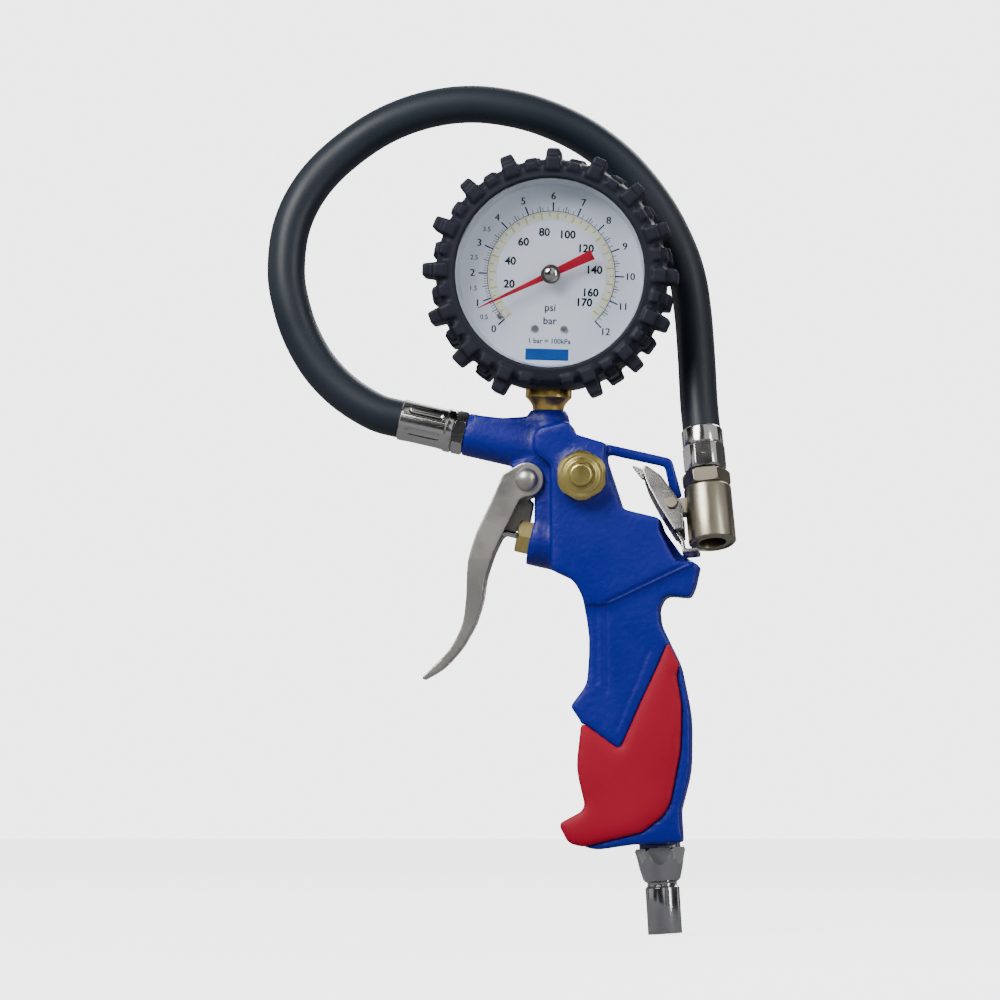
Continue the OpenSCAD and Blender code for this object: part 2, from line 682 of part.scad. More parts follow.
module relief_disc() {
    color(RUBBER) in_gauge() translate([0, 0, 12])
        y_turned([[0, 10.4], [5.6, 10.4], [5.6, 11.05], [4.95, 11.05], [4.95, 12.05], [5.6, 12.05], [5.2, 12.9],
            [0, 12.9]]);
}

// ---------- hose and its ends ----------
module hose_nipple() {
    color(CHROME) in_barrel() difference() {
        union() {
            translate([0, 0, -8.5]) cylinder(r = 4.85, h = 9);
            intersection() {
                hex_bar(12, 0.1, 3.6);
                z_turned([[0, 0.1], [6.4, 0.1], [6.9, 0.6], [6.9, 3.1], [6.4, 3.6], [0, 3.6]]);
            }
            translate([0, 0, 3.5]) cylinder(r = 2.5, h = 16);
        }
        translate([0, 0, -10]) cylinder(r = 1.5, h = 32);
    }
}

// Crimped ferrule: collar, pressed flats round its middle and a rolled end
module crimped_sleeve(length, sleeve_r, collar_r, flats) {
    difference() {
        z_turned([[2.55, 0], [collar_r - 0.4, 0], [collar_r, 0.4], [collar_r, 2.2], [sleeve_r, 2.8],
            [sleeve_r, length - 0.5], [sleeve_r - 0.5, length], [2.55, length]]);
        for (i = [0:flats - 1]) rotate([0, 0, 360 * i / flats]) translate([sleeve_r + 1.5, 0, 5])
            for (z = [0, length - 9]) translate([0, 0, z]) sphere(r = 2.1);
        for (i = [0:flats - 1]) rotate([0, 0, 360 * i / flats]) translate([sleeve_r + 1.5, 0, 5])
            cylinder(r = 2.1, h = length - 9);
    }
}

module hose_ferrule() {
    color(CHROME) in_barrel() translate([0, 0, 3.7]) crimped_sleeve(17.5, 6.5, 6.9, 6);
}

module hose() {
    color(RUBBER) sweep(smooth_route(HOSE_ROUTE, 3), hose_r, 12, [0, 1, 0]);
}

module chuck_ferrule() {
    color(CHROME) in_chuck() difference() {
        union() {
            intersection() {
                hex_bar(12.4, 24.4, 32.6);
                z_turned([[0, 24.4], [6.2, 24.4], [6.7, 25.2], [6.7, 31.9], [6.2, 32.6], [0, 32.6]]);
            }
            z_turned([[0, 32.5], [6.2, 32.5], [6.5, 33], [6.5, 37.8], [6.2, 38.3], [0, 38.3]]);
        }
        translate([0, 0, 20]) cylinder(r = 2.55, h = 20);
    }
}

module chuck_nipple() {
    color(CHROME) in_chuck() difference() {
        union() {
            intersection() {
                hex_bar(13.2, 19.1, 23.6);
                z_turned([[0, 19.1], [7, 19.1], [7.6, 19.7], [7.6, 23], [7, 23.6], [0, 23.6]]);
            }
            translate([0, 0, 12.6]) cylinder(r = 4.85, h = 7);
            translate([0, 0, 23]) cylinder(r = 2.5, h = 14);
        }
        translate([0, 0, 12]) cylinder(r = 1.5, h = 30);
    }
}

// ---------- chuck ----------
module chuck_body() {
    color(CHROME) in_chuck() difference() {
        union() {
            z_turned([[0, 0], [chuck_r - 0.6, 0], [chuck_r, 0.6], [chuck_r, 18.2], [chuck_r - 0.8, 19], [0, 19]]);
            plate([[-5, 10.2, 0], [-11.6, 10.9, 0], [-11.6, 15.1, 0], [-5, 16, 0]], -2.3, 2.3);
            translate(clip_at) y_bar(2.1, -2.3, 2.3);
        }
        translate([0, 0, -past]) cylinder(r = 6.25, h = 8.1);
        translate([0, 0, 7]) cylinder(r = 3, h = 6);
        translate([0, 0, 12]) cylinder(r = 4.9, h = 8);
        translate(clip_at) y_bar(1.22, -5, 5);
    }
}

module mouth_ring() {
    color(CHROME) in_chuck() difference() {
        translate([0, 0, 0.3]) cylinder(r = 6.2, h = 2.4);
        translate([0, 0, -past]) cylinder(r = stem_r, h = 4);
    }
}

module chuck_seal() {
    color(RUBBER) in_chuck() translate([0, 0, 2.75]) difference() {
        cylinder(r = 6.2, h = 3.7);
        translate([0, 0, -1]) cylinder(r = 3.8, h = 6);
    }
}

// Depressor: a fixed spider whose pin opens the tyre valve's core
module chuck_core() {
    color(BRASS) in_chuck() difference() {
        union() {
            translate([0, 0, 6.5]) cylinder(r = 6.2, h = 1);
            translate([0, 0, 3.4]) cylinder(r = 1.2, h = 3.6);
        }
        for (a = [0:90:270]) rotate([0, 0, a]) translate([2.1, 0, 6]) cylinder(r = 0.7, h = 2);
    }
}

CLIP = [[-18.4, 26.7, 0.4], [-19.4, 26.1, 0.3], [-19.7, 25, 1], [-18.6, 20, 20], [-15.6, 12.5, 20],
    [-11.8, 4.6, 8], [-9.9, 1, 2], [-9.7, -3, 0.8], [-4.2, -3, 0.3], [-4.2, -1.7, 0.2], [-8.4, -1.6, 0.5],
    [-8.5, 4.5, 1], [-8.3, 10, 2], [-9.4, 14.5, 2], [-14, 22.7, 2]];
// Hollow of the channel, open towards the chuck
CLIP_HOLLOW = [[-17.6, 30, 0], [-18.4, 25, 0.5], [-17.3, 20.2, 20], [-14.3, 12.9, 20], [-10.6, 5.2, 8],
    [-8.7, 1.6, 0], [-8.7, -1.4, 0], [0, -1.4, 0], [0, 30, 0]];

module clip_lever() {
    color(CHROME) in_chuck() difference() {
        union() {
            difference() {
                slab(CLIP, 11.2);
                slab(CLIP_HOLLOW, 8.8);
            }
            // Thumb tab, bent over from the web's top
            translate([-18.9, 0, 23.6]) rotate([0, -30, 0]) rotate([0, 0, -20])
                translate([-0.4, -3.8, 0]) cube([0.8, 7.6, 5.4]);
        }
        // The tail below the side plates narrows to the claw
        for (s = [-1, 1]) translate([-15, s > 0 ? 3 : -10, -5]) cube([14, 7, 9]);
        translate([0, 0, -5]) cylinder(r = stem_r + 0.2, h = 5);
        translate(clip_at) y_bar(1.25, -9, 9);
    }
}

module clip_pin() {
    color(STEEL) in_chuck() translate(clip_at) {
        y_bar(1.2, -6.2, 6.2);
        y_bar(1.8, -6.6, -5.75);
        y_bar(1.8, 5.75, 6.6);
    }
}

module clip_spring() {
    color(STEEL) in_chuck() translate(clip_at) for (y = [-4.1, 2.5]) translate([0, y, 0])
        rotate([-90, 0, 0]) coil(1.7, 0.22, 1.6, 3);
}

body_casting();
grip_cover();
air_plug();
inlet_screen();
trigger_lever();
trigger_rivet();
valve_gland();
gland_o_ring();
valve_stem();
poppet_seal();
valve_seat();
valve_spring();
bleed_gland();
bleed_button();
bleed_seal();
bleed_spring();
gauge_boot();
gauge_case();
bezel_ring();
window();
window_gasket();
dial_plate();
dial_screws();
stop_pin();
needle();
arbor_pinion();
hairspring();
movement_front_plate();
movement_back_plate();
movement_pillars();
sector_gear();
bourdon_link();
bourdon_tube();
tube_tip();
gauge_socket();
socket_screws();
relief_disc();
hose_nipple();
hose_ferrule();
hose();
chuck_ferrule();
chuck_nipple();
chuck_body();
chuck_seal();
chuck_core();
mouth_ring();
clip_lever();
clip_pin();
clip_spring();
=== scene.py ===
# %% [markdown]
# A tyre inflator gun with a dial gauge: what this script makes
#
# The gun is a die-cast body with a squeeze lever, a dial gauge in a rubber boot, a whip hose and a clip-on
# chuck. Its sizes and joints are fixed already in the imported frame, so Blender only adds the looks.
# Each step below takes one piece or one finish, says what it is on the real object, and makes it.

# %% Load the frame
import json
from math import cos, pi, radians, sin

import bmesh
import bpy
from mathutils import Matrix, Vector


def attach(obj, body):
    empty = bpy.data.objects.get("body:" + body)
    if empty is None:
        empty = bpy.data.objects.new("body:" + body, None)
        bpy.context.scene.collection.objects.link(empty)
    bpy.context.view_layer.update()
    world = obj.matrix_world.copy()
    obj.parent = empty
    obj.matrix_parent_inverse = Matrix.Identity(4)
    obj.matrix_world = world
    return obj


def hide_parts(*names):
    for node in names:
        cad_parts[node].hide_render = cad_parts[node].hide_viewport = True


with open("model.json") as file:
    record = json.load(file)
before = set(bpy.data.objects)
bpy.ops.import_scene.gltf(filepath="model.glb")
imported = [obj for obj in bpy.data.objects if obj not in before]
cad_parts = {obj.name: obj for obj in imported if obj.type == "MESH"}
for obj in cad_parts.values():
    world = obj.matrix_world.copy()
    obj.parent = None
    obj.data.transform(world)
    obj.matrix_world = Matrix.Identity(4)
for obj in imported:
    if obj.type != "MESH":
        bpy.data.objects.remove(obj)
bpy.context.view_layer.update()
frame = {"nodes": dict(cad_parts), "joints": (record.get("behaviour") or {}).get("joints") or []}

MM = 0.001
joints = {joint["name"]: joint for joint in frame["joints"]}
gauge_centre = Vector(joints["pointer_turn"]["pos_m"])

# %% [markdown]
# Camera
#
# A long lens flattens a product the way a catalogue view does, so the dial stays round and the handle
# doesn't grow towards the lens. It stands a little to the right of square and just below the middle,
# which lets the mouth of the chuck be seen from underneath.

# %% Camera
camera_azimuth = radians(3.5)
camera_elevation = radians(-2.5)
camera_distance = 2.2
sensor_width = 36
view_width = 0.316
aim = Vector((-0.0521, 0, 0.1368))
lens_data = bpy.data.cameras.new("camera")
lens_data.sensor_width = sensor_width
lens_data.lens = sensor_width * camera_distance / view_width
lens_data.clip_start = 0.05
camera = bpy.data.objects.new("camera", lens_data)
bpy.context.scene.collection.objects.link(camera)
back = Vector((sin(camera_azimuth) * cos(camera_elevation), -cos(camera_azimuth) * cos(camera_elevation),
               sin(camera_elevation)))
camera.location = aim + back * camera_distance
camera.rotation_euler = (-back).to_track_quat("-Z", "Y").to_euler()
bpy.context.scene.camera = camera
print("lens", round(lens_data.lens), "mm")

# %% [markdown]
# Node groups that several finishes share
#
# Every real surface is a little uneven. Two noises, a fine one and a broad one, are kept in one group, so
# that each finish sets only how coarse they are. A second group finds outer edges from the mesh's own
# pointiness, where plating and paint wear first. A third draws fine drawn-out scratches.

# %% Grain group
def new_group(name, inputs, outputs):
    group = bpy.data.node_groups.new(name, "ShaderNodeTree")
    for label, value in inputs.items():
        socket = group.interface.new_socket(label, in_out="INPUT", socket_type="NodeSocketFloat")
        socket.default_value = value
    for label in outputs:
        group.interface.new_socket(label, in_out="OUTPUT", socket_type="NodeSocketFloat")
    start = group.nodes.new("NodeGroupInput")
    end = group.nodes.new("NodeGroupOutput")
    return group, start, end


grain_group, start, end = new_group("grain", {"Fine Scale": 900, "Broad Scale": 60}, ["Fine", "Broad"])
place = grain_group.nodes.new("ShaderNodeTexCoord")
for label in ("Fine", "Broad"):
    noise = grain_group.nodes.new("ShaderNodeTexNoise")
    noise.inputs["Detail"].default_value = 3
    grain_group.links.new(place.outputs["Object"], noise.inputs["Vector"])
    grain_group.links.new(start.outputs[label + " Scale"], noise.inputs["Scale"])
    grain_group.links.new(noise.outputs["Fac"], end.inputs[label])

# %% Edge wear group
wear_group, start, end = new_group("edge_wear", {"Low": 0.53, "High": 0.6}, ["Mask"])
surface = wear_group.nodes.new("ShaderNodeNewGeometry")
place = wear_group.nodes.new("ShaderNodeTexCoord")
patches = wear_group.nodes.new("ShaderNodeTexNoise")
patches.inputs["Scale"].default_value = 180
edge = wear_group.nodes.new("ShaderNodeMapRange")
worn = wear_group.nodes.new("ShaderNodeMath")
worn.operation = "MULTIPLY"
wear_group.links.new(place.outputs["Object"], patches.inputs["Vector"])
wear_group.links.new(surface.outputs["Pointiness"], edge.inputs["Value"])
wear_group.links.new(start.outputs["Low"], edge.inputs["From Min"])
wear_group.links.new(start.outputs["High"], edge.inputs["From Max"])
wear_group.links.new(edge.outputs["Result"], worn.inputs[0])
wear_group.links.new(patches.outputs["Fac"], worn.inputs[1])
wear_group.links.new(worn.outputs["Value"], end.inputs["Mask"])

# %% Scratch group
scratch_group, start, end = new_group("scratches", {"Scale": 220, "Cut": 0.62}, ["Mask"])
place = scratch_group.nodes.new("ShaderNodeTexCoord")
stretch = scratch_group.nodes.new("ShaderNodeMapping")
stretch.inputs["Rotation"].default_value = (0.4, 0.2, 0.5)
stretch.inputs["Scale"].default_value = (1, 1, 12)
lines = scratch_group.nodes.new("ShaderNodeTexNoise")
lines.inputs["Detail"].default_value = 4
cut = scratch_group.nodes.new("ShaderNodeMapRange")
cut.inputs["From Max"].default_value = 0.8
scratch_group.links.new(place.outputs["Object"], stretch.inputs["Vector"])
scratch_group.links.new(stretch.outputs["Vector"], lines.inputs["Vector"])
scratch_group.links.new(start.outputs["Scale"], lines.inputs["Scale"])
scratch_group.links.new(lines.outputs["Fac"], cut.inputs["Value"])
scratch_group.links.new(start.outputs["Cut"], cut.inputs["From Min"])
scratch_group.links.new(cut.outputs["Result"], end.inputs["Mask"])
print("groups:", [group.name for group in bpy.data.node_groups])

# %% [markdown]
# One recipe for a finish
#
# A finish is a main colour that drifts towards a second one, a roughness that wanders between two values,
# a fine relief, and a colour that shows where edges are worn. Written once as a recipe, it keeps every
# material readable: what differs between paint, rubber and plate is only its numbers.

# %% Finish recipe
def add_group(tree, group, **values):
    node = tree.nodes.new("ShaderNodeGroup")
    node.node_tree = group
    for label, value in values.items():
        node.inputs[label.replace("_", " ")].default_value = value
    return node


def blend_colours(tree, factor, colour_a, colour_b):
    mix = tree.nodes.new("ShaderNodeMix")
    mix.data_type = "RGBA"
    tree.links.new(factor, mix.inputs[0])
    for socket, colour in ((mix.inputs[6], colour_a), (mix.inputs[7], colour_b)):
        if isinstance(colour, tuple):
            socket.default_value = (*colour, 1)
        else:
            tree.links.new(colour, socket)
    return mix.outputs[2]


def finish(name, colour, drift, rough, relief, worn=None, metallic=0.0, coat=0.0, fine=900, broad=60,
           scratched=0.0, gloss=0.5):
    material = bpy.data.materials.new(name)
    material.use_nodes = True
    tree = material.node_tree
    shader = tree.nodes["Principled BSDF"]
    shader.inputs["Metallic"].default_value = metallic
    shader.inputs["Specular IOR Level"].default_value = gloss
    shader.inputs["Coat Weight"].default_value = coat
    shader.inputs["Coat Roughness"].default_value = 0.12
    grain = add_group(tree, grain_group, Fine_Scale=fine, Broad_Scale=broad)
    base = blend_colours(tree, grain.outputs["Broad"], colour, drift)
    if worn:
        edges = add_group(tree, wear_group)
        base = blend_colours(tree, edges.outputs["Mask"], base, worn)
    tree.links.new(base, shader.inputs["Base Color"])
    spread = tree.nodes.new("ShaderNodeMapRange")
    spread.inputs["From Min"].default_value = 0.35
    spread.inputs["From Max"].default_value = 0.65
    spread.inputs["To Min"].default_value = rough[0]
    spread.inputs["To Max"].default_value = rough[1]
    tree.links.new(grain.outputs["Broad"], spread.inputs["Value"])
    roughness = spread.outputs["Result"]
    if scratched:
        marks = add_group(tree, scratch_group)
        more = tree.nodes.new("ShaderNodeMath")
        more.operation = "MULTIPLY_ADD"
        more.inputs[1].default_value = scratched
        tree.links.new(marks.outputs["Mask"], more.inputs[0])
        tree.links.new(roughness, more.inputs[2])
        roughness = more.outputs["Value"]
    tree.links.new(roughness, shader.inputs["Roughness"])
    bump = tree.nodes.new("ShaderNodeBump")
    bump.inputs["Strength"].default_value = relief[0]
    bump.inputs["Distance"].default_value = relief[1] * MM
    tree.links.new(grain.outputs["Fine"], bump.inputs["Height"])
    tree.links.new(bump.outputs["Normal"], shader.inputs["Normal"])
    return material

# %% [markdown]
# The finishes
#
# The body is sprayed and baked enamel with a slight orange peel. The grip cover and boot are moulded
# rubber. The fittings are nickel-chrome plate over brass or steel, and the valve glands are bare brass.
# The dial is white enamelled sheet, printed in blue, black and yellow.

# %% Finishes
blue_paint = finish("blue_paint", (0.001, 0.003, 0.19), (0.002, 0.006, 0.26), (0.34, 0.48), (0.6, 0.35),
                    worn=(0.006, 0.02, 0.36), fine=620, broad=45, gloss=0.35)
red_grip = finish("red_grip", (0.31, 0.0004, 0.016), (0.38, 0.0008, 0.024), (0.5, 0.64), (0.25, 0.1),
                  worn=(0.5, 0.004, 0.03), fine=2600, broad=50, gloss=0.25)
bright_plate = finish("bright_plate", (0.56, 0.55, 0.53), (0.48, 0.47, 0.45), (0.1, 0.2), (0.06, 0.05),
                      metallic=1, fine=500, broad=70, scratched=0.18)
dark_plate = finish("dark_plate", (0.46, 0.46, 0.47), (0.36, 0.36, 0.37), (0.12, 0.22), (0.06, 0.05),
                    worn=(0.75, 0.75, 0.75), metallic=1, fine=500, broad=70, scratched=0.18)
warm_plate = finish("warm_plate", (0.34, 0.31, 0.24), (0.28, 0.25, 0.18), (0.28, 0.4), (0.06, 0.05),
                    metallic=1, fine=500, broad=70, scratched=0.18)
pressed_plate = finish("pressed_plate", (0.58, 0.56, 0.52), (0.46, 0.44, 0.4), (0.3, 0.44), (0.15, 0.06),
                       worn=(0.85, 0.83, 0.8), metallic=1, fine=1400, broad=80, scratched=0.25)
clip_plate = finish("clip_plate", (0.34, 0.33, 0.31), (0.27, 0.26, 0.25), (0.22, 0.34), (0.15, 0.06),
                    worn=(0.7, 0.69, 0.66), metallic=1, fine=1400, broad=80, scratched=0.25)
spring_wire = finish("spring_wire", (0.5, 0.5, 0.5), (0.42, 0.42, 0.43), (0.25, 0.38), (0.1, 0.03),
                     metallic=1)
satin_brass = finish("satin_brass", (0.68, 0.57, 0.2), (0.6, 0.48, 0.15), (0.24, 0.38), (0.12, 0.04),
                     worn=(0.75, 0.64, 0.32), metallic=1, fine=1600, broad=90, scratched=0.2)
neck_brass = finish("neck_brass", (0.78, 0.56, 0.16), (0.66, 0.45, 0.11), (0.24, 0.36), (0.1, 0.04),
                    metallic=1, fine=1600, broad=90)
boot_rubber = finish("boot_rubber", (0.007, 0.009, 0.018), (0.012, 0.014, 0.025), (0.5, 0.66), (0.3, 0.12),
                     worn=(0.03, 0.034, 0.05), fine=1500, broad=60, gloss=0.25)
hose_rubber = finish("hose_rubber", (0.007, 0.012, 0.02), (0.012, 0.018, 0.028), (0.4, 0.52), (0.2, 0.08),
                     fine=1800, broad=35, gloss=0.4)
seal_rubber = finish("seal_rubber", (0.01, 0.01, 0.011), (0.02, 0.02, 0.02), (0.5, 0.6), (0.2, 0.05))
case_steel = finish("case_steel", (0.5, 0.51, 0.53), (0.42, 0.43, 0.45), (0.24, 0.36), (0.08, 0.04),
                    metallic=1, fine=900, broad=50)
rim_steel = finish("rim_steel", (0.72, 0.74, 0.78), (0.66, 0.68, 0.72), (0.3, 0.4), (0.05, 0.03),
                   metallic=0.6, fine=900, broad=50)
dial_white = finish("dial_white", (0.82, 0.86, 0.97), (0.78, 0.83, 0.95), (0.4, 0.5), (0.05, 0.02), fine=1200,
                    gloss=0.2)
ink_blue = finish("ink_blue", (0.006, 0.016, 0.07), (0.01, 0.024, 0.1), (0.5, 0.6), (0.05, 0.01), fine=3000,
                  gloss=0.2)
ink_black = finish("ink_black", (0.004, 0.006, 0.014), (0.008, 0.012, 0.024), (0.5, 0.6), (0.05, 0.01),
                   fine=3000, gloss=0.2)
ink_pale = finish("ink_pale", (0.8, 0.81, 0.7), (0.79, 0.82, 0.76), (0.5, 0.6), (0.05, 0.01), fine=3000,
                  gloss=0.2)
ink_yellow = finish("ink_yellow", (0.62, 0.52, 0.12), (0.68, 0.58, 0.2), (0.5, 0.6), (0.05, 0.01), fine=3000,
                    gloss=0.2)
plate_blue = finish("plate_blue", (0.002, 0.06, 0.3), (0.004, 0.08, 0.36), (0.4, 0.5), (0.05, 0.01),
                    fine=3000, gloss=0.2)
needle_red = finish("needle_red", (0.35, 0.001, 0.018), (0.42, 0.002, 0.026), (0.35, 0.45), (0.06, 0.01),
                    fine=2500, gloss=0.25)
hub_dark = finish("hub_dark", (0.045, 0.03, 0.03), (0.07, 0.05, 0.05), (0.3, 0.4), (0.06, 0.01), fine=2500)

clear_lens = bpy.data.materials.new("clear_lens")
clear_lens.use_nodes = True
lens_shader = clear_lens.node_tree.nodes["Principled BSDF"]
lens_shader.inputs["Transmission Weight"].default_value = 1
lens_shader.inputs["Roughness"].default_value = 0.02
lens_shader.inputs["IOR"].default_value = 1.1
lens_shader.inputs["Base Color"].default_value = (0.97, 0.99, 1, 1)
print(len(bpy.data.materials), "materials")

# %% [markdown]
# Helpers for making a piece
#
# Every new piece ends the same way: its mesh gets a name and a finish, rides on a moving body of the
# frame, and hides the plain solid that it stands for, where there is one. Shapes that a lathe would cut are
# spun from a profile.

# %% Piece helpers
ALL_SMOOTH = 180


def keep(name, mesh, material, body, nodes=(), sharp=35):
    piece = bpy.data.objects.new(name, mesh)
    bpy.context.scene.collection.objects.link(piece)
    mesh.materials.clear()
    mesh.materials.append(material)
    mesh.shade_smooth()
    mesh.set_sharp_from_angle(angle=radians(sharp))
    flat_rims = {key for face in mesh.polygons if face.loop_total > 6 for key in face.edge_keys}
    for edge in mesh.edges:
        if edge.key in flat_rims:
            edge.use_edge_sharp = True
    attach(piece, body)
    if nodes:
        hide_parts(*nodes)
    print(name, len(mesh.polygons), "faces")
    return piece


def as_mesh(name, bm, matrix=Matrix.Identity(4)):
    bmesh.ops.transform(bm, matrix=matrix, verts=bm.verts)
    mesh = bpy.data.meshes.new(name)
    bm.to_mesh(mesh)
    bm.free()
    return mesh


def copy_of(node):
    bm = bmesh.new()
    bm.from_mesh(frame["nodes"][node].data)
    bmesh.ops.remove_doubles(bm, verts=bm.verts, dist=0.002 * MM)
    return bm


def turned(bm, profile, steps=72, axis=(0, 0, 1)):
    made = [bm.verts.new(point) for point in profile]
    edges = [bm.edges.new(pair) for pair in zip(made, made[1:])]
    bmesh.ops.spin(bm, geom=made + edges, cent=(0, 0, 0), axis=axis, angle=2 * pi, steps=steps,
                   use_merge=True)


def plate(bm, corners, y0, y1):
    face = bm.faces.new([bm.verts.new((x, y0, z)) for x, z in corners])
    grown = bmesh.ops.extrude_face_region(bm, geom=[face])["geom"]
    moved = [item for item in grown if isinstance(item, bmesh.types.BMVert)]
    bmesh.ops.translate(bm, verts=moved, vec=(0, y1 - y0, 0))
    bmesh.ops.recalc_face_normals(bm, faces=bm.faces)

# %% [markdown]
# Whip hose
#
# A stiff rubber hose leaves the barrel, arches over behind the gauge and comes down to the chuck, which
# hangs on the body's hook. A curve with a round bevel is the right tool: its line is the hose's own
# centreline, so its length is real. The points below are the frame's own route, joined by a smooth blend.

# %% Whip hose
HOSE_ROUTE = [
    (-83.7, 0, 162.5), (-91.5, 0, 164.8), (-101.4, 1, 171), (-109.3, 2, 179), (-115, 3, 188.5),
    (-118.6, 4, 198.5), (-120.5, 5.5, 209.5), (-119.2, 7.5, 223.5), (-114, 9.5, 235.6), (-105, 11.5, 246.2),
    (-91.4, 13.5, 256.2), (-77, 15, 262), (-62, 16.3, 264), (-46.8, 17.6, 262.1), (-33.8, 19, 257.7),
    (-22.6, 20.3, 251.4), (-12.6, 21.2, 242.8), (-3.6, 21.6, 231.4), (2.8, 21.4, 219.4), (6.4, 20.4, 209),
    (8.3, 18.2, 197.5), (9.6, 13.5, 182.5), (10.5, 8.6, 168.3), (11.5, 5.5, 158.8),
]
hose_diameter = 0.012


def smooth_route(points, parts):
    route = [Vector(point) * MM for point in points]
    route = [2 * route[0] - route[1], *route, 2 * route[-1] - route[-2]]
    smooth = []
    for a, b, c, d in zip(route, route[1:], route[2:], route[3:]):
        for step in range(parts):
            t = step / parts
            smooth.append(0.5 * (2 * b + (c - a) * t + (2 * a - 5 * b + 4 * c - d) * t * t
                                 + (3 * b - a - 3 * c + d) * t * t * t))
    return smooth + [route[-2]]


hose_line = smooth_route(HOSE_ROUTE, 6)
hose_curve = bpy.data.curves.new("whip_hose", "CURVE")
hose_curve.dimensions = "3D"
hose_curve.bevel_depth = hose_diameter / 2
hose_curve.bevel_resolution = 10
hose_curve.use_fill_caps = True
spline = hose_curve.splines.new("POLY")
spline.points.add(len(hose_line) - 1)
for point, place in zip(spline.points, hose_line):
    point.co = (*place, 1)
spline.use_smooth = True
hose_curve.materials.append(hose_rubber)
whip_hose = bpy.data.objects.new("whip_hose", hose_curve)
bpy.context.scene.collection.objects.link(whip_hose)
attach(whip_hose, "gun")
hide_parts("hose")

# %% [markdown]
# Die-cast body
#
# A casting has no sharp edge anywhere: metal won't fill one, and the mould needs draft. Bevelling every
# edge by hand is slow and fails where ribs meet, so a copy of the plain solid is melted into one skin with
# a voxel remesh and then smoothed. The smoothing rounds edges and fills inner corners alike, as on the real
# casting. Smoothing along the width only crowns the cheeks and keeps the outline. The creases that the
# mould leaves on the cheeks are then pressed in, each as a line with a depth and a width.

# %% Casting helper
def melted(name, bm, voxel, soft, crown):
    mesh = as_mesh(name, bm)
    blank = bpy.data.objects.new(name, mesh)
    bpy.context.scene.collection.objects.link(blank)
    remesh = blank.modifiers.new("remesh", "REMESH")
    remesh.mode = "VOXEL"
    remesh.voxel_size = voxel * MM
    bpy.context.view_layer.update()
    result = bpy.data.meshes.new_from_object(blank.evaluated_get(bpy.context.evaluated_depsgraph_get()))
    bpy.data.objects.remove(blank)
    bm = bmesh.new()
    bm.from_mesh(result)
    for _ in range(crown):
        bmesh.ops.smooth_vert(bm, verts=bm.verts, factor=0.5, use_axis_y=True)
    for _ in range(soft):
        bmesh.ops.smooth_vert(bm, verts=bm.verts, factor=0.5, use_axis_x=True, use_axis_y=True,
                              use_axis_z=True)
    bm.to_mesh(result)
    bm.free()
    return result

# %% Die-cast body
def groove(mesh, start, end, depth, width):
    start, end = Vector(start) * MM, Vector(end) * MM
    line = end - start
    for vert in mesh.vertices:
        if abs(vert.co.y) < 6 * MM or abs(vert.normal.y) < 0.5:
            continue
        point = Vector((vert.co.x, vert.co.z))
        along = min(max((point - start).dot(line) / line.length_squared, 0), 1)
        near = (point - start - line * along).length / (width * MM)
        if near < 1:
            vert.co.y -= (1 if vert.co.y > 0 else -1) * depth * MM * (1 - near * near) ** 2


body_mesh = melted("die_cast_body", copy_of("body_casting"), voxel=0.5, soft=4, crown=34)
groove(body_mesh, (-17.6, 104.4), (8.4, 116.8), 0.5, 0.8)
groove(body_mesh, (-18.2, 103.6), (-17.8, 76), 0.3, 1.1)
groove(body_mesh, (-21.2, 102), (-21, 79), 0.25, 1.0)
groove(body_mesh, (-4.6, 89), (-14.8, 64.5), 0.25, 1.1)
keep("die_cast_body", body_mesh, blue_paint, "gun", ["body_casting"], sharp=ALL_SMOOTH)

# %% [markdown]
# Grip cover
#
# The red cover is moulded rubber that wraps the front and both cheeks of the handle. It is softer in
# shape than the casting, so it gets many more passes of the smoothing along the width, which turns its
# flat cheeks into a crowned palm swell and keeps the outline.

# %% Grip cover
grip_mesh = melted("grip_cover_moulding", copy_of("grip_cover"), voxel=0.6, soft=3, crown=70)
keep("grip_cover_moulding", grip_mesh, red_grip, "gun", ["grip_cover"], sharp=ALL_SMOOTH)

# %% [markdown]
# Gauge boot
#
# The boot is a thick rubber ring with a tread like an off-road tyre: tall lugs on the dial side, lower
# ones behind and between them, and ribs that run over the shoulder. Each lug is a tapered, bevelled block
# set round the ring. The voxel remesh then melts lugs and ring into one moulding with soft roots.

# %% Gauge boot
gauge_lean = radians(1.8)
gauge_frame = Matrix.Translation(gauge_centre) @ Matrix.Rotation(gauge_lean, 4, "Y") @ Matrix.Scale(MM, 4)


def lug(bm, angle, width, tip_width, reach, y0, y1):
    block = bmesh.ops.create_cube(bm, size=1)["verts"]
    inner, outer = reach
    for vert in block:
        across = tip_width if vert.co.z > 0 else width
        vert.co = (vert.co.x * across, y0 if vert.co.y < 0 else y1, outer if vert.co.z > 0 else inner)
    edges = list({edge for vert in block for edge in vert.link_edges})
    made = bmesh.ops.bevel(bm, geom=edges, offset=0.5, affect="EDGES", segments=2, profile=0.5, material=-1)
    lug_verts = list({vert for face in made["faces"] for vert in face.verts})
    turn = Matrix.Rotation(angle, 4, "Y")
    bmesh.ops.transform(bm, matrix=turn, verts=lug_verts)


def boot_ring(bm):
    profile = [(29.8, -15.2), (29.8, -17.3), (30.4, -17.6), (33.8, -17.2), (35.6, -15), (36.4, -9),
               (36.4, 6), (35.8, 11), (34.2, 13.6), (28.5, 13.9), (28.5, 12.2), (31.7, 12.2), (31.7, -9.4),
               (32.8, -9.4), (32.8, -15.2), (29.8, -15.2)]
    turned(bm, [(radius, y, 0) for radius, y in profile], axis=(0, 1, 0))


